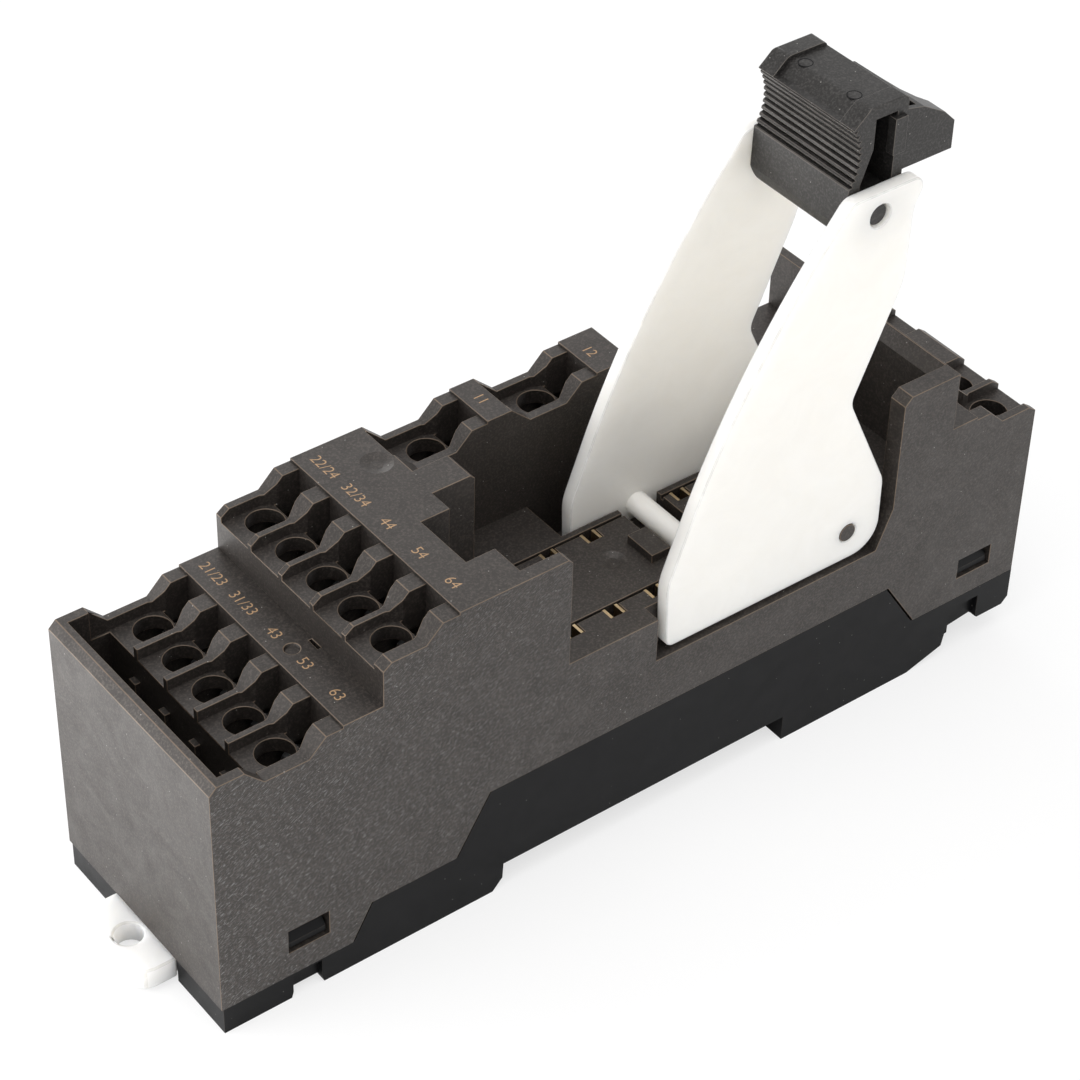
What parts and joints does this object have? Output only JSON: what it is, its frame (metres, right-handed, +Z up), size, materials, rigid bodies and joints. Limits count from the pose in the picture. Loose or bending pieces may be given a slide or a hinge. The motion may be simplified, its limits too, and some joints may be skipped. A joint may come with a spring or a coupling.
{
  "type": "relay socket",
  "caption": "Rail-mounted socket for a narrow multi-pole relay, with stepped rows of push-in terminals, a hinged white lever with a grey release handle and a sprung rail latch.",
  "frame": {"origin": "middle of the underside of the whole socket's bounding box", "axes": "+X along the socket from the rail latch end, +Y from the side shown to the back, +Z up"},
  "size_m": [0.1042, 0.0274, 0.0734],
  "materials": {
    "housing_plastic": "fine matte grain",
    "base_plastic": "satin black",
    "latch_plastic": "milky white, satin",
    "lever_plastic": "warm white, satin",
    "handle_plastic": "satin dark grey",
    "contact_brass": "bright, plated",
    "spring_steel": "bright"
  },
  "bodies": {
    "socket": {"housing": "housing_plastic", "base": "base_plastic", "latch_spring": "spring_steel", "contact_21_23": "contact_brass", "contact_31_33": "contact_brass", "contact_43": "contact_brass", "contact_53": "contact_brass", "contact_63": "contact_brass", "contact_22_24": "contact_brass", "contact_32_34": "contact_brass", "contact_44": "contact_brass", "contact_54": "contact_brass", "contact_64": "contact_brass", "contact_11": "contact_brass", "contact_12": "contact_brass", "contact_a1": "contact_brass", "contact_a2": "contact_brass", "clamp_spring_21_23": "spring_steel", "clamp_spring_31_33": "spring_steel", "clamp_spring_43": "spring_steel", "clamp_spring_53": "spring_steel", "clamp_spring_63": "spring_steel", "clamp_spring_22_24": "spring_steel", "clamp_spring_32_34": "spring_steel", "clamp_spring_44": "spring_steel", "clamp_spring_54": "spring_steel", "clamp_spring_64": "spring_steel", "clamp_spring_11": "spring_steel", "clamp_spring_12": "spring_steel", "clamp_spring_a1_1": "spring_steel", "clamp_spring_a1_2": "spring_steel", "clamp_spring_a2_1": "spring_steel", "clamp_spring_a2_2": "spring_steel"},
    "retaining_lever": {"lever": "lever_plastic", "release_handle": "handle_plastic"},
    "latch": {"rail_latch": "latch_plastic"}
  },
  "joints": [
    {"name": "lever_pivot", "type": "hinge", "parent": "socket", "child": "retaining_lever", "pos_m": [0.0273, -0.00495, 0.02425], "axis": [0, 1, 0], "range_deg": [0, 14]},
    {"name": "latch_slide", "type": "slide", "parent": "socket", "child": "latch", "axis": [-1, 0, 0], "range_m": [0, 0.003], "stiffness_N_per_m": 1500, "springref_m": -0.001, "deforming": ["latch_spring"]}
  ]
}
